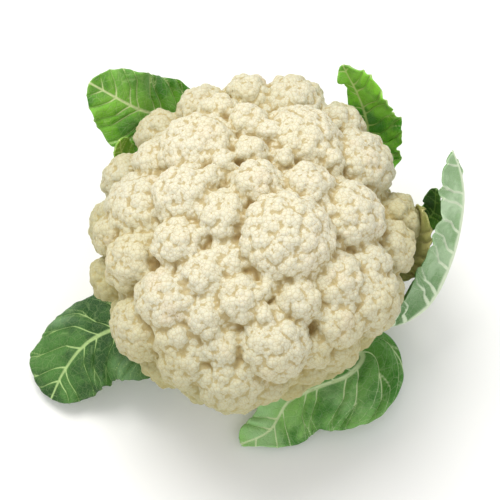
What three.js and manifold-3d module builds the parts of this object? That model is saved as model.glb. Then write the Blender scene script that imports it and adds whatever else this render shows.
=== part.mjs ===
// A whole cauliflower standing on its cut stalk: one curd of many florets, the stalk under it,
// and the leaves that were left on. Millimetres, +Z up, head axis on Z, cut face on z = 0.

import * as THREE from 'three';
import { mergeVertices } from 'three/addons/utils/BufferGeometryUtils.js';
import Module from 'manifold-3d';

const wasm = await Module();
wasm.setup();

// Curd: the core that the florets stand out of.
const CURD_WIDTH = 152;        // across, along X
const CURD_DEPTH = 172;        // front to back, along Y
const CURD_DOME = 56;          // from its widest level up to its top
const CURD_BELLY = 42;         // from its widest level down to its underside
const CURD_LEVEL = 80;         // height of its widest level
const FLORET_PROUD = 12;       // how far the large florets stand out of the core

// Stalk.
const STALK_RADIUS = 21;       // at the cut face
const STALK_NECK = 19.5;       // at its narrowest
const STALK_NECK_HEIGHT = 9;
const STALK_FLARE = 31;        // where it meets the curd
const STALK_SINK = 5;          // how far it runs up into the curd
const BRANCH_COUNT = 9;
const BRANCH_RADIUS = 10;      // at the upper end
const BRANCH_FOOT = 7;         // radius at the lower end
const BRANCH_LENGTH = 34;
const BRANCH_REACH = 36;       // how far out the middle of a branch is
const BRANCH_RISE = 0.8;       // upwards for each millimetre outwards

// Leaves.
const LEAF_THICKNESS = 1.3;    // of the blade
const LEAF_ROOT = 2.5;         // how far inside the stalk's neck a leaf starts
const BIG_RIB = [16, 8];       // width and thickness of a large leaf's midrib where it is thickest
const SMALL_RIB = [8, 4.5];
const GAP = 0.3;               // between pieces that touch

const CURD_UNDERSIDE = CURD_LEVEL - CURD_BELLY;
const GOLDEN_ANGLE = Math.PI * (3 - Math.sqrt(5));
const rad = THREE.MathUtils.degToRad;

// Florets that face forward and up: bearing and tilt in degrees from +X and from the head axis,
// half width, and how far each one stands out of the core.
const FLORETS = [
  // round the top
  [-48, 22, 25, 15], [44, 4, 14, 8], [89, 16, 10, 6], [7, 24, 15, 8], [159, 16, 8, 6],
  [130, 15, 8, 6], [-141, 14, 15, 8], [-109, 25, 13, 3], [46, 20, 7, 4], [-8, 34, 7, 5],
  // the back
  [134, 32, 21, 10], [91, 33, 12, 7], [108, 44, 12, 7], [50, 38, 21, 10], [72, 28, 8, 6],
  [69, 63, 19, 13], [27, 39, 8, 6], [27, 62, 20, 13], [47, 68, 15, 12], [112, 63, 15, 8],
  [90, 59, 15, 10],
  // the left
  [178, 26, 18, 10], [-148, 33, 15, 9], [176, 54, 19, 8], [-176, 68, 13, 8], [-160, 60, 16, 8],
  [152, 48, 13, 6], [158, 74, 14, 8],
  // the front left
  [-122, 36, 15, 7], [-95, 40, 14, 8], [-132, 54, 19, 11], [-111, 50, 13, 8], [-123, 64, 16, 9],
  [-138, 78, 18, 12], [-116, 76, 18, 9], [-97, 82, 20, 11], [-101, 63, 14, 7], [-108, 96, 14, 7],
  // the front right
  [-79, 60, 19, 12], [-80, 35, 8, 5], [-83, 46, 8, 7], [-62, 44, 14, 8], [-39, 52, 17, 9],
  [-32, 70, 20, 14], [-48, 64, 16, 10], [-22, 62, 14, 9], [-62, 70, 11, 5], [-51, 82, 13, 6],
  [-85, 84, 13, 6], [-62, 100, 9, 2],
  // the right
  [-4, 46, 19, 10], [-7, 76, 16, 12], [7, 84, 15, 14], [-20, 88, 14, 8],
];

// The florets that fill the rest of the head: how many places are tried, half width, how far each
// stands out, and the least distance to a neighbour as a share of the two half widths together.
const FILLERS = [
  { count: 90, half: 16, proud: 8, room: 0.78 }, { count: 260, half: 9, proud: 4, room: 0.82 },
];
const LOWEST_TILT = 118;       // degrees from the head axis, where the florets end underneath

// The core's surface point, and the way out of it, for a bearing and a tilt in radians.
function corePlace(bearing, tilt) {
  const turn = new THREE.Vector3(
    Math.sin(tilt) * Math.cos(bearing), Math.sin(tilt) * Math.sin(bearing), Math.cos(tilt));
  const half = turn.z > 0 ? CURD_DOME : CURD_BELLY;
  const axes = new THREE.Vector3(CURD_WIDTH / 2, CURD_DEPTH / 2, half);
  const point = turn.clone().multiply(axes);
  point.z += CURD_LEVEL;
  return { point, out: turn.divide(axes).normalize() };
}

function solidOf(geometry) {
  const bare = geometry.clone();
  bare.deleteAttribute('normal');
  bare.deleteAttribute('uv');
  const merged = mergeVertices(bare, 1e-4);
  return new wasm.Manifold(new wasm.Mesh({
    numProp: 3,
    vertProperties: new Float32Array(merged.attributes.position.array),
    triVerts: new Uint32Array(merged.index.array),
  }));
}

function geometryOf(solid) {
  const mesh = solid.getMesh();
  const geometry = new THREE.BufferGeometry();
  geometry.setAttribute('position', new THREE.BufferAttribute(mesh.vertProperties, 3));
  geometry.setIndex(new THREE.BufferAttribute(mesh.triVerts, 1));
  geometry.computeVertexNormals();
  return geometry;
}

function joined(solids) {
  let round = solids;
  while (round.length > 1) {
    const next = [];
    for (let i = 0; i < round.length; i += 2) {
      next.push(i + 1 < round.length ? round[i].add(round[i + 1]) : round[i]);
    }
    round = next;
  }
  return round[0];
}

// Every floret: the ones above, and the rest of the head filled in along the golden-angle spiral
// that florets grow in, first with large ones and then with small ones between them.
function allFlorets() {
  const florets = FLORETS.map(([bearing, tilt, half, proud]) => (
    { ...corePlace(rad(bearing), rad(tilt)), half, proud }));
  for (const { count, half, proud, room } of FILLERS) {
    for (let i = 0; i < count; i += 1) {
      const tilt = rad(LOWEST_TILT) * Math.sqrt((i + 0.5) / count);
      const place = corePlace(i * GOLDEN_ANGLE, tilt);
      const size = half * (1 + 0.15 * Math.sin(i * 2.1));
      const near = florets.some((other) => (
        other.point.distanceTo(place.point) < room * (other.half + size)));
      if (!near) florets.push({ ...place, half: size, proud });
    }
  }
  return florets;
}

// The curd, grown outwards by `grow` where a neighbour needs room.
function curdSolid(grow) {
  const core = new THREE.SphereGeometry(1, 24, 14);
  const place = core.attributes.position;
  for (let i = 0; i < place.count; i += 1) {
    const half = place.getY(i) > 0 ? CURD_DOME : CURD_BELLY;
    place.setXYZ(i, place.getX(i) * (CURD_WIDTH / 2 + grow), -place.getZ(i) * (CURD_DEPTH / 2 + grow),
      CURD_LEVEL + place.getY(i) * (half + grow));
  }
  const florets = allFlorets().map(({ point, out, half, proud }) => {
    // The ball whose cap of this half width stands this far out of the core.
    const radius = (half * half + proud * proud) / (2 * proud);
    const detail = half > 17 ? 3 : half > 10.5 ? 2 : 1;
    const ball = new THREE.IcosahedronGeometry(radius + grow, detail);
    const centre = point.clone().addScaledVector(out, proud - radius);
    return solidOf(ball.translate(centre.x, centre.y, centre.z));
  });
  return joined([solidOf(core), ...florets]);
}

// The stalk: a short round stem, and the branches that spread from it into the curd's underside.
function stalkSolid(grow) {
  const profile = new THREE.SplineCurve([
    new THREE.Vector2(STALK_RADIUS + grow, 1 - grow),
    new THREE.Vector2(STALK_NECK + grow, STALK_NECK_HEIGHT),
    new THREE.Vector2((STALK_NECK + STALK_FLARE) / 2 + grow, 0.75 * CURD_UNDERSIDE),
    new THREE.Vector2(STALK_FLARE + grow, CURD_UNDERSIDE + STALK_SINK),
  ]).getPoints(9);
  const outline = [
    new THREE.Vector2(0, -grow), new THREE.Vector2(STALK_RADIUS - 1 + grow, -grow),
    ...profile, new THREE.Vector2(0, CURD_UNDERSIDE + STALK_SINK),
  ];
  const stem = new THREE.LatheGeometry(outline, 30).rotateX(Math.PI / 2);
  const solids = [solidOf(stem)];
  for (let i = 0; i < BRANCH_COUNT; i += 1) {
    const bearing = i * 2 * Math.PI / BRANCH_COUNT;
    const across = new THREE.Vector3(Math.cos(bearing), Math.sin(bearing), 0);
    const branch = new THREE.CylinderGeometry(
      BRANCH_RADIUS + grow, BRANCH_FOOT + grow, BRANCH_LENGTH + 2 * grow, 10);
    const lean = new THREE.Vector3(across.x, across.y, BRANCH_RISE).normalize();
    branch.applyQuaternion(
      new THREE.Quaternion().setFromUnitVectors(new THREE.Vector3(0, 1, 0), lean));
    across.multiplyScalar(BRANCH_REACH);
    branch.translate(across.x, across.y, CURD_UNDERSIDE + STALK_SINK / 2);
    solids.push(solidOf(branch));
  }
  return joined(solids);
}

// Moves a point out of the space that the curd and its florets fill.
function clearOfCurd(point) {
  const room = FLORET_PROUD + LEAF_THICKNESS;
  const half = point.z > CURD_LEVEL ? CURD_DOME + room : CURD_BELLY + room;
  const shape = new THREE.Vector3(CURD_WIDTH / 2 + room, CURD_DEPTH / 2 + room, half);
  const local = point.clone();
  local.z -= CURD_LEVEL;
  const depth = local.clone().divide(shape).length();
  if (depth < 1) {
    local.divideScalar(Math.max(depth, 0.2));
    point.copy(local);
    point.z += CURD_LEVEL;
  }
  return point;
}

// A leaf grown from the stalk. `base` is the bearing and the height at which it leaves the stalk.
// `rib` lists the midrib's other points on the way to the tip as bearing in degrees, distance out
// from the curd's widest line (negative is further in), and height.
// `width` and `start` give the blade's half width and where along the leaf it begins, on the left
// and the right of the midrib as seen from the upper side with the tip away. `faces` is the way that
// the upper side looks from `settled` on along the leaf, and at the base it looks up. `cup` lifts the
// two edges. `lobes` are stretches where one edge swells out or draws in: side, place along the leaf,
// share of the width, and length.
function leafGeometry({ base, rib, stem, width, start, faces, settled, cup, waves, lobes = [] }) {
  const pointAt = (bearing, away, height) => new THREE.Vector3(
    Math.cos(rad(bearing)) * away, Math.sin(rad(bearing)) * away, height);
  const root = pointAt(base[0], STALK_NECK - LEAF_ROOT, base[1]);
  const others = rib.map(([bearing, out, height]) => {
    const turn = rad(bearing);
    const rim = 1 / Math.hypot(Math.cos(turn) / (CURD_WIDTH / 2), Math.sin(turn) / (CURD_DEPTH / 2));
    return pointAt(bearing, rim + out, height);
  });
  const curve = new THREE.CatmullRomCurve3([root, ...others], false, 'centripetal');
  const geometry = new THREE.BoxGeometry(2, 1, 1, 8, 18, 1);
  const place = geometry.attributes.position;
  for (let i = 0; i < place.count; i += 1) {
    const u = -place.getX(i);
    const t = place.getY(i) + 0.5;
    const ahead = curve.getTangentAt(t);
    const centre = curve.getPointAt(t);
    const upper = new THREE.Vector3(0, 0, 1).lerp(
      new THREE.Vector3(...faces).normalize(), Math.min(1, t / settled));
    upper.addScaledVector(ahead, -upper.dot(ahead)).normalize();
    const sideways = upper.clone().cross(ahead);
    // Blade outline: a plain stem first, then an oval that closes at the tip.
    const hand = u > 0 ? 0 : 1;
    const blade = THREE.MathUtils.clamp((t - start[hand]) / (1 - start[hand]), 0, 1);
    const oval = Math.pow(blade, 0.55) * Math.pow(1 - blade, 0.42) * 1.38;
    const ribHalf = stem[0] / 2 * (1 - 0.8 * t);
    const edge = lobes.filter(([side]) => side === hand).reduce(
      (sum, [, at, deep, wide]) => sum + deep * Math.exp(-(((t - at) / wide) ** 2)), 1);
    const half = Math.max(ribHalf * (1 - 0.5 * blade), oval * width[hand] * edge, 0.8);
    const wave = waves[1] * Math.sin(waves[0] * Math.PI * blade) * u * Math.abs(u);
    centre.addScaledVector(sideways, u * half);
    centre.addScaledVector(upper, oval * (cup * Math.abs(u) ** 1.6 + wave));
    clearOfCurd(centre);
    // The rib stands out of the under side, and the upper side stays nearly flat.
    const ribShare = Math.exp(-((u * half / ribHalf) ** 2) * 1.2);
    const thick = Math.max(LEAF_THICKNESS, (stem[1] * (1 - t) + LEAF_THICKNESS) * ribShare);
    const above = place.getZ(i) > 0;
    centre.addScaledVector(upper, above ? LEAF_THICKNESS / 2 : LEAF_THICKNESS / 2 - thick);
    place.setXYZ(i, centre.x, centre.y, centre.z);
  }
  return geometry;
}

// A height given as a level of the head: 0 at the cut face, 1 at the curd's underside, 2 where the
// curd is widest and 3 at the top of its core.
function up(level) {
  const marks = [0, CURD_UNDERSIDE, CURD_LEVEL, CURD_LEVEL + CURD_DOME];
  const lower = Math.min(Math.floor(level), 2);
  return THREE.MathUtils.lerp(marks[lower], marks[lower + 1], level - lower);
}

const LEAVES = {
  // Stands out behind the head on the left, its upper side to the front.
  leaf_back_left: {
    base: [118, up(0.32)],
    rib: [[116, -40, up(0.47)], [114, -6, up(0.89)], [117, 19, up(1.4)], [126, 26, up(1.9)],
      [134, 44, up(2.3)]],
    stem: BIG_RIB, width: [36, 31], start: [0.4, 0.4], faces: [0.45, -0.7, 0.5], settled: 1, cup: -3,
    waves: [5, 3],
  },
  // A small young leaf under it.
  leaf_back_left_small: {
    base: [158, up(0.47)],
    rib: [[152, -38, up(0.53)], [144, -4, up(1.1)], [140, 8, up(1.57)], [139, 13, up(2.07)]],
    stem: SMALL_RIB, width: [9, 12], start: [0.5, 0.5], faces: [0.6, -0.6, 0.3], settled: 1, cup: 1,
    waves: [5, 1],
  },
  // Stands up close behind the head on the right.
  leaf_back_right: {
    base: [60, up(0.32)],
    rib: [[56, -40, up(0.47)], [50, -6, up(0.89)], [50, 21, up(1.43)], [53, 22, up(2.07)],
      [61, 21, up(2.57)]],
    stem: BIG_RIB, width: [10, 33], start: [0.4, 0.3], faces: [-0.5, -0.8, 0.2], settled: 1, cup: 3,
    waves: [7, 3],
  },
  // Two inner leaves on the right, the second one lying against the curd.
  leaf_right_small: {
    base: [31, up(0.5)],
    rib: [[28, -36, up(0.53)], [20, 4, up(1.1)], [15, 26, up(1.57)], [17, 28, up(2.07)]],
    stem: SMALL_RIB, width: [10, 10], start: [0.5, 0.5], faces: [-0.6, -0.7, 0.3], settled: 1, cup: 2,
    waves: [3, 1],
  },
  leaf_right_inner: {
    base: [9, up(0.66)],
    rib: [[6, -36, up(0.71)], [3, 2, up(1.19)], [2, 13, up(1.81)], [8, 16, up(2.21)]],
    stem: SMALL_RIB, width: [26, 18], start: [0.45, 0.45], faces: [-0.7, -0.4, 0.55], settled: 1, cup: 2,
    waves: [3, 0.5],
  },
  // Stands up outside them, one half of it folded round the head.
  leaf_right_tall: {
    base: [-6, up(0.39)],
    rib: [[-8, -38, up(0.53)], [-14, 0, up(0.74)], [-10, 18, up(1.1)], [-2, 29, up(1.67)],
      [8, 36, up(2.21)], [13, 36, up(2.5)], [17, 33, up(2.71)]],
    stem: BIG_RIB, width: [6, 27], start: [0.4, 0.3], faces: [-0.75, 0.3, -0.45], settled: 0.5, cup: 3,
    waves: [4, 1.5], lobes: [[1, 0.55, 0.25, 0.15]],
  },
  // Bends round under the front of the head and lies on its tip.
  leaf_front_right: {
    base: [-56, BIG_RIB[1] + 1.5],
    rib: [[-42, -38, BIG_RIB[1] + 1], [-28, -7, BIG_RIB[1] + 3], [-41, -7, 17], [-58, -17, 15],
      [-71, -19, 12], [-82, -8, 7], [-93, -2, 5]],
    stem: BIG_RIB, width: [33, 20], start: [0.24, 0.45], faces: [-0.1, -0.3, 1], settled: 1, cup: -1,
    waves: [6, 1.2], lobes: [[0, 0.5, 0.3, 0.15], [0, 0.97, -0.6, 0.08]],
  },
  // Lies out on the left, on its tip.
  leaf_front_left: {
    base: [196, up(0.32)],
    rib: [[198, -40, up(0.53)], [201, -5, up(0.87)], [200, 17, up(0.63)], [204, 33, up(0.42)],
      [208, 45, up(0.18)]],
    stem: BIG_RIB, width: [38, 36], start: [0.14, 0.36], faces: [-0.1, 0, 1], settled: 1, cup: -3,
    waves: [6, 2.5], lobes: [[0, 0.36, 0.5, 0.18], [1, 0.42, 0.35, 0.12]],
  },
};

const COLOURS = {
  curd: 0xe9dfc0, stalk: 0xd5d9a6, leaf_back_left: 0x4c8a2e, leaf_back_left_small: 0x7ba83a,
  leaf_back_right: 0x47802c, leaf_right_small: 0x3f7a30, leaf_right_inner: 0xb4b873,
  leaf_right_tall: 0x8fb487,
  leaf_front_right: 0x5d8f4c, leaf_front_left: 0x4f7f4f,
};

const cauliflower = new THREE.Group();

function addPiece(name, geometry, roughness) {
  const material = new THREE.MeshStandardMaterial({ color: COLOURS[name], roughness, metalness: 0 });
  const mesh = new THREE.Mesh(geometry, material);
  mesh.name = name;
  cauliflower.add(mesh);
}

const curd = curdSolid(0);
addPiece('curd', geometryOf(curd), 0.6);
const stalk = stalkSolid(0).subtract(curdSolid(GAP));
addPiece('stalk', geometryOf(stalk), 0.55);
const room = stalkSolid(GAP).add(curdSolid(GAP));
for (const [name, leaf] of Object.entries(LEAVES)) {
  addPiece(name, geometryOf(solidOf(leafGeometry(leaf)).subtract(room)), 0.5);
}

export default cauliflower;
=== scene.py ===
# A whole cauliflower with its outer leaves, standing on its cut stalk on a pale table.
import math

import bmesh
import bpy
import numpy as np
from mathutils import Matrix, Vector
from mathutils.bvhtree import BVHTree


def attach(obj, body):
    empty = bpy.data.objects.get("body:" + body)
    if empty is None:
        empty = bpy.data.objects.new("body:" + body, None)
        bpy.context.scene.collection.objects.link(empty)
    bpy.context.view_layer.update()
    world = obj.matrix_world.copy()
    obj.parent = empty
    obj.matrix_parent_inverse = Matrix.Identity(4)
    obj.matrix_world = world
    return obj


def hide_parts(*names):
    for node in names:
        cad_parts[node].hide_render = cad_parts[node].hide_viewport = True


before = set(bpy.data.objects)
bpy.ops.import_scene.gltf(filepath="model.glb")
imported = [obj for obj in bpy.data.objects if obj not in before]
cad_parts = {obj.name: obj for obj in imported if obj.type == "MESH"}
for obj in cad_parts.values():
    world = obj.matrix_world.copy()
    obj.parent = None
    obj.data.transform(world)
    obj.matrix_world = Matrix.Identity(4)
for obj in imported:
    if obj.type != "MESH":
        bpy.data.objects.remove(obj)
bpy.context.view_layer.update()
MM = 0.001


# ---------------------------------------------------------------------------------------------
# Stalk. The thick pale green stem that was cut across with a knife, and the branches that spread
# from it into the head. Crisp flesh under a smooth skin, with fibres along it and a drying cut.

STALK_VOXEL = 0.9 * MM
STALK_SWELLINGS = [(11.0 * MM, 0.7 * MM, 3)]   # spacing, height, seed
DOME_REACH = 0.72            # how far a dome falls away, as a share of the spacing
DOME_CROWDING = 900000.0     # most points to a square metre, before the spacing thins them
MERGE_REACH = 0.01 * MM


class Signal:
    """A node output that works in Python arithmetic, adding the Math nodes it needs."""

    def __init__(self, sheet, socket):
        self.sheet = sheet
        self.socket = socket

    def math(self, operation, *others, clamp=False):
        values = dict(enumerate((self, *others)))
        settings = {"operation": operation, "use_clamp": clamp}
        return self.sheet.node("ShaderNodeMath", settings, values)

    def __add__(self, other):
        return self.math("ADD", other)

    def __mul__(self, other):
        return self.math("MULTIPLY", other)

    def __truediv__(self, other):
        return self.math("DIVIDE", other)

    def __rsub__(self, other):
        return (self * -1.0) + other

    __radd__ = __add__
    __rmul__ = __mul__

    def clamped(self):
        return self.math("ADD", 0.0, clamp=True)

    def ramp(self, low, high):
        """0 at low, 1 at high, clamped and eased."""
        values = {"Value": self, "From Min": low, "From Max": high}
        return self.sheet.node("ShaderNodeMapRange", {"interpolation_type": "SMOOTHSTEP"}, values)


class Sheet:
    """A node tree that is written as Python expressions."""

    def __init__(self, tree):
        self.tree = tree

    def put(self, socket, value):
        if isinstance(value, Signal):
            self.tree.links.new(value.socket, socket)
        else:
            socket.default_value = value

    def node(self, kind, settings=None, values=None, out=0):
        made = self.tree.nodes.new(kind)
        for name, setting in (settings or {}).items():
            setattr(made, name, setting)
        for name, value in (values or {}).items():
            self.put(made.inputs[name], value)
        return Signal(self, made.outputs[out])

    def blend(self, factor, first, second):
        """Colour that goes from first to second with factor."""
        settings = {"data_type": "RGBA", "clamp_factor": True}
        return self.node("ShaderNodeMix", settings, {0: factor, 6: first, 7: second}, 2)


class Finish(Sheet):
    """A procedural material around one Principled shader."""

    def __init__(self, name, **constants):
        self.material = bpy.data.materials.new(name)
        self.material.use_nodes = True
        super().__init__(self.material.node_tree)
        self.shader = self.tree.nodes["Principled BSDF"]
        for socket, value in constants.items():
            self.shader.inputs[socket.replace("_", " ")].default_value = value

    def place(self):
        return self.node("ShaderNodeTexCoord", out="Object")

    def height(self):
        return self.node("ShaderNodeSeparateXYZ", None, {0: self.place()}, "Z")

    def stretched(self, place, x, y, z):
        """Coordinates scaled along each axis, so that a pattern on them runs long or short."""
        return self.node("ShaderNodeMapping", None, {"Vector": place, "Scale": (x, y, z)})

    def mark(self, name):
        """A number stored on the mesh's points."""
        return self.node("ShaderNodeAttribute", {"attribute_name": name}, out="Fac")

    def noise(self, scale, detail=3.0, roughness=0.5, place=None):
        values = {"Vector": place or self.place(), "Scale": scale, "Detail": detail,
                  "Roughness": roughness}
        return self.node("ShaderNodeTexNoise", None, values)

    def cells(self, scale, feature="F1", place=None):
        values = {"Vector": place or self.place(), "Scale": scale}
        return self.node("ShaderNodeTexVoronoi", {"feature": feature}, values, "Distance")

    def finish(self, colour, roughness, height, depth):
        """Links colour, roughness and a relief whose height of 1 stands depth metres high."""
        self.put(self.shader.inputs["Base Color"], colour)
        self.put(self.shader.inputs["Roughness"], roughness)
        bump = self.node("ShaderNodeBump", None,
                         {"Strength": 1.0, "Distance": depth, "Height": height})
        self.put(self.shader.inputs["Normal"], bump)
        return self.material


def rgb(red, green, blue):
    """A paint colour given in 0 to 255 screen values."""
    def linear(c):
        c = c / 255
        return c / 12.92 if c <= 0.04045 else ((c + 0.055) / 1.055) ** 2.4
    return (linear(red), linear(green), linear(blue), 1.0)


def geometry_tree(name, inputs):
    """A new Geometry Nodes tree with a Geometry input, the named number inputs and an output."""
    tree = bpy.data.node_groups.new(name, "GeometryNodeTree")
    tree.interface.new_socket("Geometry", in_out="INPUT", socket_type="NodeSocketGeometry")
    for socket_name, value in inputs.items():
        kind = "NodeSocketInt" if isinstance(value, int) else "NodeSocketFloat"
        made = tree.interface.new_socket(socket_name, in_out="INPUT", socket_type=kind)
        made.default_value = value
    tree.interface.new_socket("Geometry", in_out="OUTPUT", socket_type="NodeSocketGeometry")
    sheet = Sheet(tree)
    entry = tree.nodes.new("NodeGroupInput")
    return sheet, {socket.name: Signal(sheet, socket) for socket in entry.outputs}


def end_tree(sheet, geometry, material):
    """Realizes and paints what a tree has made, and returns the tree."""
    real = sheet.node("GeometryNodeRealizeInstances", None, {"Geometry": geometry})
    painted = sheet.node("GeometryNodeSetMaterial", None, {"Geometry": real, "Material": material})
    end = sheet.tree.nodes.new("NodeGroupOutput")
    sheet.put(end.inputs[0], painted)
    return sheet.tree


def keep_result(piece):
    """Replaces a piece's mesh by what its modifiers make of it, and removes them."""
    view = bpy.context.evaluated_depsgraph_get()
    view.update()
    mesh = bpy.data.meshes.new_from_object(piece.evaluated_get(view))
    piece.modifiers.clear()
    old = piece.data
    piece.data = mesh
    mesh.name = piece.name
    bpy.data.meshes.remove(old)


def run_tree(piece, tree, inputs):
    """Runs a tree on a piece, with its inputs set by identifier, and keeps the plain mesh."""
    modifier = piece.modifiers.new(tree.name, "NODES")
    modifier.node_group = tree
    for item in tree.interface.items_tree:
        if item.in_out == "INPUT" and item.name in inputs:
            modifier[item.identifier] = inputs[item.name]
    keep_result(piece)


def new_piece(name, mesh):
    piece = bpy.data.objects.new(name, mesh)
    bpy.context.scene.collection.objects.link(piece)
    return piece


def frame_copy(node, name):
    """A merged copy of a frame solid, to be worked into the finished piece."""
    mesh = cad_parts[node].data.copy()
    work = bmesh.new()
    work.from_mesh(mesh)
    bmesh.ops.remove_doubles(work, verts=work.verts, dist=MERGE_REACH)
    work.to_mesh(mesh)
    work.free()
    mesh.materials.clear()
    return new_piece(name, mesh)


def skin(piece, voxel):
    """Wraps a piece in one even closed skin."""
    modifier = piece.modifiers.new("skin", "REMESH")
    modifier.mode = "VOXEL"
    modifier.voxel_size = voxel
    modifier.use_smooth_shade = True
    keep_result(piece)


def thin(piece, triangles):
    """Thins a skin of four-sided faces to about that many triangles."""
    modifier = piece.modifiers.new("thin", "DECIMATE")
    modifier.ratio = min(1.0, triangles / (2 * len(piece.data.polygons)))
    keep_result(piece)


def swellings(levels):
    """The inputs of a swell tree, by name, for its levels of (spacing, height, seed)."""
    return {f"{word} {i}": value for i, level in enumerate(levels)
            for word, value in zip(("Spacing", "Height", "Seed"), level)}


def swell_tree(name, material, levels):
    """Lumps on a smooth skin, level on level: domes round evenly spread points.

    Each dome stands half its height over the skin and sinks half its height under it at its rim.
    """
    sheet, given = geometry_tree(name, swellings(levels))
    total = None
    for i in range(len(levels)):
        spacing = given[f"Spacing {i}"]
        points = sheet.node("GeometryNodeDistributePointsOnFaces", {"distribute_method": "POISSON"},
                            {"Mesh": given["Geometry"], "Distance Min": spacing,
                             "Density Max": DOME_CROWDING, "Seed": given[f"Seed {i}"]})
        away = sheet.node("GeometryNodeProximity", {"target_element": "POINTS"}, {0: points},
                          "Distance")
        share = (away / (spacing * DOME_REACH)).clamped()
        rise = (0.5 - share * share) * given[f"Height {i}"]
        total = rise if total is None else total + rise
    normal = sheet.node("GeometryNodeInputNormal")
    push = sheet.node("ShaderNodeVectorMath", {"operation": "SCALE"}, {0: normal, "Scale": total})
    swollen = sheet.node("GeometryNodeSetPosition", None,
                         {"Geometry": given["Geometry"], "Offset": push})
    return end_tree(sheet, swollen, material)


def soften(piece, times):
    """Evens out a skin's steps."""
    modifier = piece.modifiers.new("soften", "SMOOTH")
    modifier.factor = 0.5
    modifier.iterations = times
    keep_result(piece)


def stalk_finish():
    """Pale green skin with long fibres, and a creamy cut face that browns towards its edge."""
    paint = Finish("stalk_flesh", Subsurface_Weight=0.2, Subsurface_Scale=0.003,
                   Subsurface_Radius=(1.0, 0.9, 0.4), Specular_IOR_Level=0.4)
    along = paint.stretched(paint.place(), 1.0, 1.0, 0.12)
    fibres = paint.noise(420.0, 3.0, 0.6, along)
    patches = paint.noise(45.0, 2.0).ramp(0.35, 0.68)
    colour = paint.blend(patches, rgb(203, 212, 158), rgb(222, 225, 186))
    colour = paint.blend(fibres.ramp(0.45, 0.7) * 0.5, colour, rgb(180, 196, 126))
    colour = paint.blend(paint.height().ramp(0.012, 0.040) * 0.7, colour, rgb(216, 214, 162))
    cut = paint.height().ramp(0.0012, 0.0002)
    rings = paint.cells(190.0).ramp(0.2, 0.75)
    face = paint.blend(rings, rgb(233, 226, 196), rgb(208, 190, 146))
    colour = paint.blend(cut, colour, face)
    scars = paint.noise(95.0, 3.0).ramp(0.62, 0.72)
    colour = paint.blend(scars * 0.4, colour, rgb(150, 128, 78))
    roughness = 0.46 + fibres * 0.18
    return paint.finish(colour, roughness, fibres + paint.noise(900.0) * 0.3, 0.25 * MM)


stalk_material = stalk_finish()
stalk = frame_copy("stalk", "stalk_stem")
skin(stalk, STALK_VOXEL)
soften(stalk, 3)
stalk_lumps = swell_tree("swell_stalk", stalk_material, STALK_SWELLINGS)
run_tree(stalk, stalk_lumps, swellings(STALK_SWELLINGS))

# The knife left the cut face flat.
place = np.empty(3 * len(stalk.data.vertices))
stalk.data.vertices.foreach_get("co", place)
place = place.reshape(-1, 3)
place[place[:, 2] < STALK_VOXEL, 2] = 0.0
stalk.data.vertices.foreach_set("co", place.ravel())

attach(stalk, "root")
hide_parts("stalk")


# ---------------------------------------------------------------------------------------------
# Curd. One grown head of firm cream-white flesh, carried by the stalk's branches: florets with deep
# clefts between them, each a heap of lumps, each lump a heap of smaller lumps, and those a heap of
# buds. All three swell out of the skin by the same rule, each about half as wide as the last.

FLORET_VOXEL = 1.3 * MM
CURD_VOXEL = 0.66 * MM
CURD_SWELLINGS = [  # spacing, height, seed
    (9.8 * MM, 2.1 * MM, 4),
    (4.8 * MM, 0.95 * MM, 7),
    (2.3 * MM, 0.28 * MM, 9),
]
CURD_TRIANGLES = 194000
CLEFT_SIZES = {"Steps": 36, "Share": 1.15}           # how wide the clefts are felt for, how deep
HOLLOW_SIZES = {"Near Steps": 3, "Wide Steps": 22}   # how wide creases and hollows are felt for
BEADS = 440.0                # buds to a metre, in the skin's finest relief


def deepen_tree(material):
    """Sinks the clefts between florets and rounds the florets out."""
    sheet, given = geometry_tree("deepen_clefts", CLEFT_SIZES)
    where = sheet.node("GeometryNodeInputPosition")
    normal = sheet.node("GeometryNodeInputNormal")
    around = sheet.node("GeometryNodeBlurAttribute", {"data_type": "FLOAT_VECTOR"},
                        {"Value": where, "Iterations": given["Steps"]})
    proud = sheet.node("ShaderNodeVectorMath", {"operation": "SUBTRACT"}, {0: where, 1: around})
    rise = sheet.node("ShaderNodeVectorMath", {"operation": "DOT_PRODUCT"},
                      {0: proud, 1: normal}, "Value")
    push = sheet.node("ShaderNodeVectorMath", {"operation": "SCALE"},
                      {0: normal, "Scale": rise * given["Share"]})
    moved = sheet.node("GeometryNodeSetPosition", None,
                       {"Geometry": given["Geometry"], "Offset": push})
    return end_tree(sheet, moved, material)


def hollow_tree(material):
    """Marks how many millimetres each point lies below its surroundings, near and wide."""
    sheet, given = geometry_tree("mark_hollows", HOLLOW_SIZES)
    where = sheet.node("GeometryNodeInputPosition")
    normal = sheet.node("GeometryNodeInputNormal")
    geometry = given["Geometry"]
    for mark, steps in (("crease", "Near Steps"), ("hollow", "Wide Steps")):
        around = sheet.node("GeometryNodeBlurAttribute", {"data_type": "FLOAT_VECTOR"},
                            {"Value": where, "Iterations": given[steps]})
        rise = sheet.node("ShaderNodeVectorMath", {"operation": "SUBTRACT"}, {0: around, 1: where})
        depth = sheet.node("ShaderNodeVectorMath", {"operation": "DOT_PRODUCT"},
                           {0: rise, 1: normal}, "Value")
        geometry = sheet.node("GeometryNodeStoreNamedAttribute", {"data_type": "FLOAT"},
                              {"Geometry": geometry, "Name": mark, "Value": depth * 1000.0})
    return end_tree(sheet, geometry, material)


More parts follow.
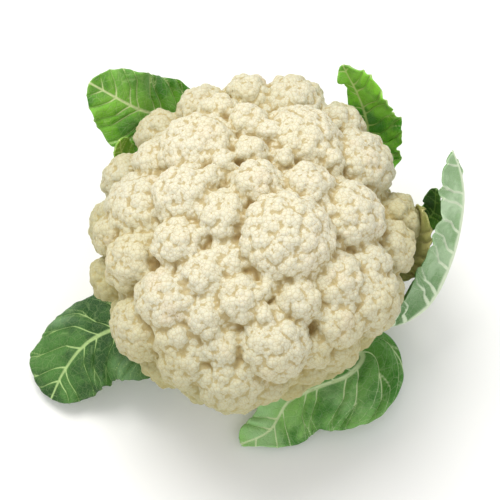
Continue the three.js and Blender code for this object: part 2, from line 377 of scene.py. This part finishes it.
def curd_finish():
    """Cream flesh with tan painted shade in its creases, hollows and bud seams, a painted highlight
    on the top and greenish painted shade low down, with the finest buds as relief.
    """
    paint = Finish("curd_flesh", Subsurface_Weight=0.15, Subsurface_Scale=0.002,
                   Subsurface_Radius=(1.0, 0.8, 0.45), Specular_IOR_Level=0.3)
    crease = paint.mark("crease").ramp(0.02, 0.20)
    hollow = paint.mark("hollow").ramp(0.7, 2.4)
    patches = paint.noise(26.0, 2.0).ramp(0.35, 0.7)
    colour = paint.blend(patches, rgb(208, 205, 178), rgb(205, 199, 161))
    colour = paint.blend(paint.noise(60.0, 2.0).ramp(0.55, 0.72) * 0.5, colour, rgb(217, 198, 164))
    # Painted highlight: the top of the head is painted lighter, where the lamp from above and
    # behind falls on it.
    colour = paint.blend(paint.height().ramp(0.100, 0.138) * 0.6, colour, rgb(236, 231, 209))
    # Painted shade: tan in the narrow creases and darker brown in the wider hollows between
    # florets.
    colour = paint.blend(crease * 0.62, colour, rgb(180, 156, 90))
    colour = paint.blend(hollow * 0.85, colour, rgb(134, 104, 46))
    # Painted shade: the lower part of the head is painted darker and greener, where it faces away
    # from the lamp.
    painted_low_shade = paint.height().ramp(0.114, 0.062)
    colour = paint.blend(painted_low_shade * 0.78, colour, rgb(164, 159, 96))
    beads = paint.cells(BEADS)
    # Painted shade: thin tan lines along the seams between buds.
    bud_seam_shade = paint.cells(BEADS, "DISTANCE_TO_EDGE").ramp(0.12, 0.0)
    colour = paint.blend(bud_seam_shade * 0.36, colour, rgb(172, 146, 84))
    specks = paint.cells(300.0).ramp(0.14, 0.04) * paint.noise(60.0, 1.0).ramp(0.60, 0.66)
    colour = paint.blend(specks * 0.6, colour, rgb(120, 88, 48))
    roughness = 0.55 + paint.noise(200.0) * 0.15
    grain = beads * beads * -1.6 + paint.cells(1100.0) * -0.3
    return paint.finish(colour, roughness, grain, 0.30 * MM)


curd_material = curd_finish()
curd = frame_copy("curd", "curd_florets")
skin(curd, FLORET_VOXEL)
floret_skin = BVHTree.FromObject(curd, bpy.context.evaluated_depsgraph_get())
soften(curd, 2)
run_tree(curd, deepen_tree(curd_material), CLEFT_SIZES)
skin(curd, CURD_VOXEL)
curd_lumps = swell_tree("swell_curd", curd_material, CURD_SWELLINGS)
run_tree(curd, curd_lumps, swellings(CURD_SWELLINGS))
thin(curd, CURD_TRIANGLES)
run_tree(curd, hollow_tree(curd_material), HOLLOW_SIZES)
curd.data.polygons.foreach_set("use_smooth", [True] * len(curd.data.polygons))
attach(curd, "root")
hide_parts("curd")


# ---------------------------------------------------------------------------------------------
# Leaves. Eight leaves left growing from the stalk's side, each one waxy blade with a thick pale
# midrib on its under side, side veins that fork towards a wavy margin, and flesh that puckers up
# between them.

CURD_HALF = np.array([76.0, 86.0]) * MM       # half width and half depth of the curd's core
CURD_HEIGHTS = (38 * MM, 80 * MM, 136 * MM)   # underside, widest level and top of the core
CURD_ROOM = 13.3 * MM        # room that the florets fill round the core
CLEAR_OF_CURD = 2.6 * MM
STALK_SIDE = 17 * MM
PATH_STEPS = 60              # steps along a midrib from one given point to the next
BIG_RIB = (16 * MM, 8 * MM)       # width and depth of a midrib at its base
SMALL_RIB = (8 * MM, 4.5 * MM)
BLADE = 1.1 * MM             # thickness
NARROWEST = 0.8 * MM         # half width that a leaf never goes under
EDGE = 0.05                  # share of the half width over which the blade thins to its edge
VEIN_THIN = 0.20 * MM        # half width that a side vein never goes under
VEIN_SWELL = 0.34 * MM       # what is added to it at the midrib
VEIN_ZIGZAG = (3.2 * MM, 1.5 * MM)   # step and swing of a side vein's zigzag
VEIN_STEADY = 8 * MM         # the zigzag grows to its full swing over this
FORK_LEANS = (0.42, -0.36)   # how the two branches of a forked vein lean away from it
PUCKER = 1.7 * MM            # how far the flesh rises between veins
PUCKER_STARTS = 7 * MM       # and how far out from the midrib it is at its full height
RAGS = ((21, 0.040), (37, 0.026), (83, 0.014), (171, 0.007))   # pace and depth of a torn margin
SERRATION_PACE = 46          # pace of the teeth on a toothed leaf


def midrib_points(base, rib, count):
    """Evenly spaced points along a smooth midrib, the way ahead at each, and its length.

    base is a bearing in degrees and a height in millimetres on the stalk's side. A point of rib is
    a bearing, a distance out from the curd's widest line and a height.
    """
    knots = [(math.radians(base[0]), STALK_SIDE, base[1] * MM)]
    for bearing, out, height in rib:
        turn = math.radians(bearing)
        rim = 1 / math.hypot(math.cos(turn) / CURD_HALF[0], math.sin(turn) / CURD_HALF[1])
        knots.append((turn, rim + out * MM, height * MM))
    knots = [np.array([math.cos(a) * r, math.sin(a) * r, z]) for a, r, z in knots]
    knots = [2 * knots[0] - knots[1], *knots, 2 * knots[-1] - knots[-2]]
    t = np.linspace(0, 1, PATH_STEPS, endpoint=False)[:, None]
    path = []
    for before, here, there, after in zip(knots, knots[1:], knots[2:], knots[3:]):
        d0, d1, d2 = (math.sqrt(np.linalg.norm(b - a)) for a, b in
                      ((before, here), (here, there), (there, after)))
        leave = (here - before) / d0 - (there - before) / (d0 + d1) + (there - here) / d1
        arrive = (there - here) / d1 - (after - here) / (d1 + d2) + (after - there) / d2
        path.append((2 * t**3 - 3 * t**2 + 1) * here + (t**3 - 2 * t**2 + t) * d1 * leave
                    + (3 * t**2 - 2 * t**3) * there + (t**3 - t**2) * d1 * arrive)
    path = np.vstack([*path, knots[-2][None]])
    gone = np.concatenate([[0], np.cumsum(np.linalg.norm(np.diff(path, axis=0), axis=1))])
    even = np.linspace(0, gone[-1], count)
    points = np.stack([np.interp(even, gone, path[:, k]) for k in range(3)], axis=1)
    ahead = np.gradient(points, axis=0)
    return points, ahead / np.linalg.norm(ahead, axis=1, keepdims=True), gone[-1]


def steady(directions, reach):
    """Directions evened out over reach steps to each side."""
    padded = np.pad(directions, ((reach, reach), (0, 0)), mode="edge")
    even = np.stack([np.convolve(padded[:, k], np.hanning(2 * reach + 1), "valid")
                     for k in range(3)], axis=1)
    return even / np.linalg.norm(even, axis=1, keepdims=True)


def vein_field(along, away, reach, length, start, spacing, seed):
    """How strongly each blade point belongs to a side vein, and how far it lies between veins."""
    mark = np.zeros_like(along)
    between = np.full_like(along, 1.0)
    bent = along - 0.78 * away - 5.0 * away**2
    first = start * length * 0.92
    for k in range(int((length - np.min(first)) / spacing) + 2):
        origin = first + spacing * (k + 0.22 * math.sin(2.7 * k + seed))
        step, swing = VEIN_ZIGZAG
        zigzag = np.arcsin(np.sin(away / step + 1.7 * k + seed)) / (math.pi / 2)
        origin = origin + swing * zigzag * np.clip(away / VEIN_STEADY, 0, 1)
        thick = VEIN_SWELL * (1 - 0.7 * np.clip(away / reach, 0, 1)) + VEIN_THIN
        off = np.abs(bent - origin) * 0.8
        mark = np.maximum(mark, np.exp(-(off / thick) ** 2))
        between = np.minimum(between, off / (0.4 * spacing))
        fork = reach * (0.42 + 0.08 * math.sin(1.9 * k + seed))
        for lean in FORK_LEANS:
            past = np.clip(away - fork, 0, None)
            off = np.abs(bent - origin - lean * past) * 0.8
            branch = np.where(away > fork, np.exp(-(off / (0.7 * thick)) ** 2), 0)
            mark = np.maximum(mark, 0.75 * branch)
    return mark, np.clip(between, 0, 1)


def clear_of_curd(place):
    """Moves points out of the room that the curd fills: first its rough shape, then its florets."""
    local = place.copy()
    under, widest, top = CURD_HEIGHTS
    local[..., 2] -= widest
    half = np.where(local[..., 2] > 0, top - widest + CURD_ROOM, widest - under + CURD_ROOM)
    depth = np.sqrt((local[..., 0] / (CURD_HALF[0] + CURD_ROOM)) ** 2
                    + (local[..., 1] / (CURD_HALF[1] + CURD_ROOM)) ** 2
                    + (local[..., 2] / half) ** 2)
    local /= np.where(depth < 1, np.maximum(depth, 0.2), 1.0)[..., None]
    local[..., 2] += widest
    shift = np.zeros_like(local)
    for index in np.argwhere(depth < 1.3):
        spot = Vector(local[tuple(index)])
        nearest, normal, _, _ = floret_skin.find_nearest(spot)
        short = CLEAR_OF_CURD - (spot - nearest).dot(normal)
        if short > 0:
            shift[tuple(index)] = normal * short
    for _ in range(6):
        padded = np.pad(shift, ((1, 1), (1, 1), (0, 0)), mode="edge")
        around = (padded[2:, 1:-1] + padded[:-2, 1:-1] + padded[1:-1, 2:] + padded[1:-1, :-2]) / 4
        longer = np.linalg.norm(around, axis=2) > np.linalg.norm(shift, axis=2)
        shift = np.where(longer[..., None], around, shift)
    return local + shift


def leaf_mesh(name, base, rib, stem, width, start, faces, cup, waves, ruffle, spacing, lobes=(),
              settled=1.0, serration=0.0, point=0.42, seed=0, rows=250, columns=146):
    """One closed leaf: an upper and an under sheet over a grid of midrib and sideways steps.

    Pairs for width and start are for the left and the right half. start is where the half begins
    along the midrib, from 0 to 1, and faces is the way that the upper side looks from settled on.
    cup, the second of waves and the second of ruffle are heights in millimetres, the first of waves
    is a count and the first of ruffle a length. A lobe is a side, a place along the midrib, how far
    it widens the half and over how much of the length. A high point makes a narrow tip.
    """
    centre, ahead, length = midrib_points(base, rib, rows)
    t = np.linspace(0, 1, rows)[:, None]
    v = np.linspace(-1, 1, columns)[None, :]
    u = np.sign(v) * np.abs(v) ** 1.25
    tip_faces = np.array(faces, float)
    tip_faces /= np.linalg.norm(tip_faces)
    turned_over = np.minimum(1, t / settled)
    upper = np.array([0, 0, 1.0]) * (1 - turned_over) + tip_faces * turned_over
    way = steady(ahead, rows // 5)
    upper -= way * np.sum(upper * way, axis=1, keepdims=True)
    upper /= np.linalg.norm(upper, axis=1, keepdims=True)
    sideways = np.cross(upper, way)

    left = u > 0
    begin = np.where(left, start[0], start[1])
    blade = np.clip((t - begin) / (1 - begin), 0, 1)
    oval = blade**0.55 * (1 - blade) ** point * 1.38
    reach = np.where(left, width[0], width[1]) * MM
    shape = 1 + sum(deep * np.exp(-((t - at) / wide) ** 2) * (left == (side == "left"))
                    for side, at, deep, wide in lobes)
    turns = (seed + 2 * left, 3 * seed + left, 2 * seed, seed)
    rag = sum(deep * np.sin(pace * t + turn) for (pace, deep), turn in zip(RAGS, turns))
    rag = rag + serration * np.abs(np.sin(SERRATION_PACE * t + seed))
    rib_half = stem[0] / 2 * (1 - 0.8 * t)
    blade_half = oval * reach * (shape + rag)
    half = np.maximum(np.maximum(rib_half * (1 - 0.5 * blade), blade_half), NARROWEST)

    w = np.abs(u) * half
    along = t * length + 0 * u
    mark, between = vein_field(along, w, reach, length, begin, spacing * MM, seed)
    on_blade = np.clip(oval * 2.5, 0, 1)
    pucker = PUCKER * (1 - (1 - between) ** 2) * np.clip(w / PUCKER_STARTS, 0, 1) * on_blade
    margin = np.abs(u) ** 3.2 * on_blade
    frill = ruffle[1] * MM * margin * (
        np.sin(2 * math.pi * along / (ruffle[0] * MM) + seed + 2.1 * left)
        + 0.45 * np.sin(2 * math.pi * along / (0.47 * ruffle[0] * MM) + 2 * seed))
    wave = waves[1] * np.sin(waves[0] * math.pi * blade) * u * np.abs(u)
    lift = oval * (cup * np.abs(u) ** 1.6 + wave) * MM + frill + pucker
    middle = (centre[:, None] + sideways[:, None] * (u * half)[..., None]
              + upper[:, None] * lift[..., None])
    middle = clear_of_curd(middle)
    step_t = np.gradient(middle, axis=0)
    step_u = np.gradient(middle, axis=1)
    out = np.cross(step_t, step_u)
    out /= np.linalg.norm(out, axis=2, keepdims=True) + 1e-12

    rib_share = np.exp(-((u * half / rib_half) ** 2) * 1.2)
    rib_deep = (stem[1] * (1 - t) + BLADE) * rib_share
    edge = np.clip((1 - np.abs(u)) / EDGE, 0.25, 1)
    proud_veins = 0.45 * MM * mark * on_blade * (rib_share < 0.6)
    under_deep = np.maximum(BLADE * edge, rib_deep) + proud_veins
    top = middle + out * (BLADE / 2 * edge - 0.18 * MM * mark * on_blade)[..., None]
    bottom = middle - out * (under_deep - BLADE / 2 * edge)[..., None]

    rib_mark = np.exp(-(u * half / (0.28 * rib_half + 0.30 * MM)) ** 2) * (1 - 0.25 * t)
    vein = np.maximum(mark * on_blade * (1 - 0.45 * np.clip(w / reach, 0, 1)), rib_mark)
    count = rows * columns
    grid = np.arange(count).reshape(rows, columns)
    a, b, c, d = grid[:-1, :-1], grid[1:, :-1], grid[1:, 1:], grid[:-1, 1:]
    sheets = [np.stack([a, b, c, d], -1).reshape(-1, 4),
              np.stack([d, c, b, a], -1).reshape(-1, 4) + count]
    for line, turned in ((grid[:, -1], False), (grid[:, 0], True),
                         (grid[0], False), (grid[-1], True)):
        ring = np.stack([line[:-1], line[1:], line[1:] + count, line[:-1] + count], -1)
        sheets.append(ring[:, ::-1] if turned else ring)
    mesh = bpy.data.meshes.new(name)
    mesh.from_pydata(np.vstack([top.reshape(-1, 3), bottom.reshape(-1, 3)]).tolist(), [],
                     np.vstack(sheets).tolist())
    for mark_name, above, below in (("vein", vein, vein), ("between", between, between),
                                    ("upper", np.ones_like(vein), np.zeros_like(vein)),
                                    ("blade", blade, blade)):
        made = mesh.attributes.new(mark_name, "FLOAT", "POINT")
        made.data.foreach_set("value", np.concatenate([above.ravel(), below.ravel()]))
    flat = np.stack([along, u * half], -1).reshape(-1, 2)
    flat = np.vstack([flat, flat])
    corner = np.empty(len(mesh.loops), dtype=int)
    mesh.loops.foreach_get("vertex_index", corner)
    mesh.uv_layers.new(name="flat").data.foreach_set("uv", flat[corner].ravel())
    mesh.polygons.foreach_set("use_smooth", [True] * len(mesh.polygons))
    mesh.update()
    return mesh


def leaf_finish(name, deep, bright, under, vein, bloom, bloom_share=0.4):
    """Waxy leaf skin: two greens in patches, a bluish bloom, pale veins and a fine net of them."""
    paint = Finish(name, Specular_IOR_Level=0.4)
    flat = paint.node("ShaderNodeUVMap", {"uv_map": "flat"})
    upper = paint.mark("upper")
    patches = paint.noise(42.0, 4.0, 0.6).ramp(0.40, 0.60)
    folds = paint.noise(60.0, 2.0, 0.4, paint.stretched(flat, 0.6, 1.0, 1.0))
    colour = paint.blend(patches, deep, bright)
    bloomed = paint.noise(24.0, 2.0).ramp(0.50, 0.64) * paint.mark("blade").ramp(0.25, 0.60)
    colour = paint.blend(bloomed * bloom_share, colour, bloom)
    colour = paint.blend(paint.mark("between").ramp(0.7, 0.0) * 0.35, colour, bright)
    underneath = paint.blend(patches * 0.55, under, bright)
    colour = paint.blend(1.0 - upper, colour, underneath)
    # Painted shade: each blade is painted darker towards its base, where it lies near and under the
    # head.
    colour = paint.blend(paint.mark("blade").ramp(0.72, 0.12) * 0.75, colour, deep)
    net = paint.cells(260.0, "DISTANCE_TO_EDGE", flat).ramp(0.06, 0.0)
    fine_net = paint.cells(700.0, "DISTANCE_TO_EDGE", flat).ramp(0.12, 0.0)
    colour = paint.blend(net * 0.15 + fine_net * 0.08, colour, vein)
    colour = paint.blend(paint.mark("vein").ramp(0.16, 0.75) * 0.95, colour, vein)
    roughness = 0.42 + paint.noise(130.0) * 0.16 + (1.0 - upper) * 0.10
    relief = net * -0.8 + fine_net * -0.4 + paint.noise(1100.0, 2.0) * 0.35 + folds * 16.0
    return paint.finish(colour, roughness, relief, 0.22 * MM)


def leaf(node, slot_name, paint, **shape):
    """One finished leaf. paint is its deep, bright, under, vein and bloom colours, and how much
    of the last."""
    piece = new_piece(node + "_blade", leaf_mesh(node + "_blade", **shape))
    piece.data.materials.append(leaf_finish(node + "_skin", *paint))
    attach(piece, "root")
    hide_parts(node)


# Stands out behind the head on the left, its bright upper side to the front.
leaf("leaf_back_left", "leaf_bright",
     (rgb(50, 122, 8), rgb(122, 188, 52), rgb(140, 180, 96), rgb(222, 238, 176),
      rgb(146, 200, 100), 0.35),
     base=(118, 12), rib=[(116, -40, 18), (114, -6, 34), (117, 19, 55), (126, 26, 76),
                          (134, 44, 97)],
     stem=BIG_RIB, width=(40, 35), start=(0.4, 0.4), faces=(0.45, -0.7, 0.5), cup=-3,
     waves=(5, 3), ruffle=(26, 1.4), spacing=9.0, point=0.56, seed=1)

# A small young leaf under it, with a toothed edge.
leaf("leaf_back_left_small", "leaf_young",
     (rgb(122, 184, 40), rgb(158, 208, 72), rgb(150, 184, 100), rgb(206, 228, 140),
      rgb(150, 190, 90), 0.2),
     base=(158, 18), rib=[(152, -38, 20), (144, -4, 42), (140, 8, 62), (139, 13, 84)],
     stem=SMALL_RIB, width=(9, 12), start=(0.5, 0.5), faces=(0.6, -0.6, 0.3), cup=1,
     waves=(5, 1), ruffle=(12, 1.0), spacing=7.0, serration=0.16, seed=2,
     rows=120, columns=60)

# Stands up close behind the head on the right, ruffled along its outer edge.
leaf("leaf_back_right", "leaf_bright",
     (rgb(58, 144, 8), rgb(134, 210, 52), rgb(156, 192, 116), rgb(206, 230, 150),
      rgb(150, 208, 92), 0.3),
     base=(60, 12), rib=[(56, -40, 18), (50, -6, 34), (50, 21, 56), (53, 22, 84), (61, 21, 112)],
     stem=BIG_RIB, width=(10, 33), start=(0.4, 0.3), faces=(-0.5, -0.8, 0.2), cup=3,
     waves=(7, 3), ruffle=(24, 1.5),
     lobes=[("right", 0.80, -0.22, 0.03), ("right", 0.66, -0.12, 0.02)], spacing=8.5, seed=3)

# Two inner leaves on the right, the second one pale and lying against the curd.
leaf("leaf_right_small", "leaf_bright",
     (rgb(32, 74, 10), rgb(62, 112, 24), rgb(110, 148, 78), rgb(122, 160, 82),
      rgb(70, 112, 44), 0.2),
     base=(31, 19), rib=[(28, -36, 20), (20, 4, 42), (15, 26, 62), (17, 28, 84)],
     stem=SMALL_RIB, width=(10, 10), start=(0.5, 0.5), faces=(-0.6, -0.7, 0.3), cup=2,
     waves=(3, 1), ruffle=(14, 1.0), spacing=7.0, seed=4, rows=120, columns=60)
leaf("leaf_right_inner", "leaf_young",
     (rgb(150, 156, 82), rgb(190, 188, 118), rgb(190, 188, 124), rgb(206, 200, 140),
      rgb(162, 150, 92), 0.4),
     base=(9, 25), rib=[(6, -36, 27), (3, 2, 46), (2, 13, 72), (8, 16, 92)],
     stem=SMALL_RIB, width=(26, 18), start=(0.45, 0.45), faces=(-0.7, -0.4, 0.55), cup=2,
     waves=(3, 0.5), ruffle=(16, 0.6), spacing=8.0, seed=5, rows=120, columns=60)

# Stands up outside them with its pale under side out, one half folded round the head.
leaf("leaf_right_tall", "leaf_pale",
     (rgb(60, 118, 36), rgb(96, 150, 72), rgb(198, 226, 184), rgb(228, 242, 210),
      rgb(150, 184, 136), 0.4),
     base=(-6, 15), rib=[(-8, -38, 20), (-14, 0, 28), (-10, 18, 42), (-2, 29, 66), (8, 36, 92),
                         (13, 36, 108), (17, 33, 120)],
     stem=BIG_RIB, width=(6, 27), start=(0.4, 0.3), faces=(-0.75, 0.3, -0.45), settled=0.5,
     cup=3, waves=(4, 1.5), ruffle=(26, 0.9), spacing=12.0, seed=6,
     lobes=[("right", 0.55, 0.25, 0.15), ("right", 0.42, 0.9, 0.10)])

# Bends round under the front of the head and lies on its tip.
leaf("leaf_front_right", "leaf_dark",
     (rgb(54, 122, 26), rgb(140, 198, 102), rgb(140, 176, 112), rgb(218, 238, 186),
      rgb(168, 210, 156), 0.6),
     base=(-56, 9.5), rib=[(-42, -38, 9), (-28, -7, 11), (-41, -7, 17), (-58, -17, 15),
                           (-71, -19, 12), (-82, -8, 7), (-93, -2, 5)],
     stem=BIG_RIB, width=(33, 20), start=(0.24, 0.45), faces=(-0.1, -0.3, 1), cup=-1,
     waves=(6, 1.2), ruffle=(24, 1.0), spacing=12.0, seed=7,
     lobes=[("left", 0.5, 0.3, 0.15), ("left", 1.0, -0.75, 0.14)])

# Lies out on the left, broad and dark, on its tip.
leaf("leaf_front_left", "leaf_dark",
     (rgb(26, 74, 12), rgb(72, 122, 48), rgb(70, 104, 52), rgb(180, 210, 136),
      rgb(150, 190, 140), 0.45),
     base=(196, 12), rib=[(198, -40, 20), (201, -5, 33), (200, 17, 24), (204, 33, 16),
                          (208, 45, 7)],
     stem=BIG_RIB, width=(38, 36), start=(0.14, 0.36), faces=(-0.1, 0, 1), cup=-3,
     waves=(6, 2.5), ruffle=(26, 1.2), spacing=12.0, seed=8,
     lobes=[("left", 0.36, 0.5, 0.18), ("right", 0.42, 0.35, 0.12)])


# ---------------------------------------------------------------------------------------------
# Room. A pale smooth table top that the head stands on, a soft lamp above and behind on the left, a
# weaker one in front, an even white surround, and the camera.

TABLE_REACH = 3.0
SURROUND = 0.70
CAMERA_RISE = math.radians(62)
CAMERA_AWAY = 0.9
CAMERA_AIM = (0.5 * MM, -2.7 * MM, 77.3 * MM)
FRAME_WIDTH = 264 * MM
SENSOR = 36.0


def area_light(name, place, aim, size, power, tint):
    lamp = bpy.data.lights.new(name, "AREA")
    lamp.size = size
    lamp.energy = power
    lamp.color = tint
    light = bpy.data.objects.new(name, lamp)
    light.location = place
    light.rotation_euler = (Vector(aim) - Vector(place)).to_track_quat("-Z", "Y").to_euler()
    bpy.context.scene.collection.objects.link(light)


table_mesh = bpy.data.meshes.new("table")
table_mesh.from_pydata(
    [(-TABLE_REACH, -TABLE_REACH, 0), (TABLE_REACH, -TABLE_REACH, 0),
     (TABLE_REACH, TABLE_REACH, 0), (-TABLE_REACH, TABLE_REACH, 0)], [], [(0, 1, 2, 3)])
table = new_piece("table", table_mesh)
table_paint = Finish("table_top")
shade = table_paint.noise(6.0, 2.0).ramp(0.3, 0.7)
table.data.materials.append(table_paint.finish(
    table_paint.blend(shade, rgb(252, 252, 251), rgb(249, 249, 248)), 0.7,
    table_paint.noise(400.0), 0.02 * MM))

head = (0.0, 0.0, 80 * MM)
area_light("key", place=(-0.28, 0.42, 1.2), aim=head, size=0.7, power=9.8, tint=(1.0, 0.985, 0.95))
area_light("fill", place=(0.1, -0.9, 0.9), aim=head, size=1.2, power=2.5, tint=(1.0, 1.0, 1.0))
world = bpy.data.worlds.new("studio")
world.use_nodes = True
world.node_tree.nodes["Background"].inputs["Color"].default_value = (1.0, 1.0, 1.0, 1.0)
world.node_tree.nodes["Background"].inputs["Strength"].default_value = SURROUND
bpy.context.scene.world = world
bpy.context.scene.view_settings.view_transform = "Standard"

away = Vector((0, -math.cos(CAMERA_RISE), math.sin(CAMERA_RISE)))
lens = bpy.data.cameras.new("camera")
lens.sensor_width = SENSOR
lens.lens = SENSOR * CAMERA_AWAY / FRAME_WIDTH
camera = bpy.data.objects.new("camera", lens)
camera.location = Vector(CAMERA_AIM) + away * CAMERA_AWAY
camera.rotation_euler = (-away).to_track_quat("-Z", "Y").to_euler()
bpy.context.scene.collection.objects.link(camera)
bpy.context.scene.camera = camera
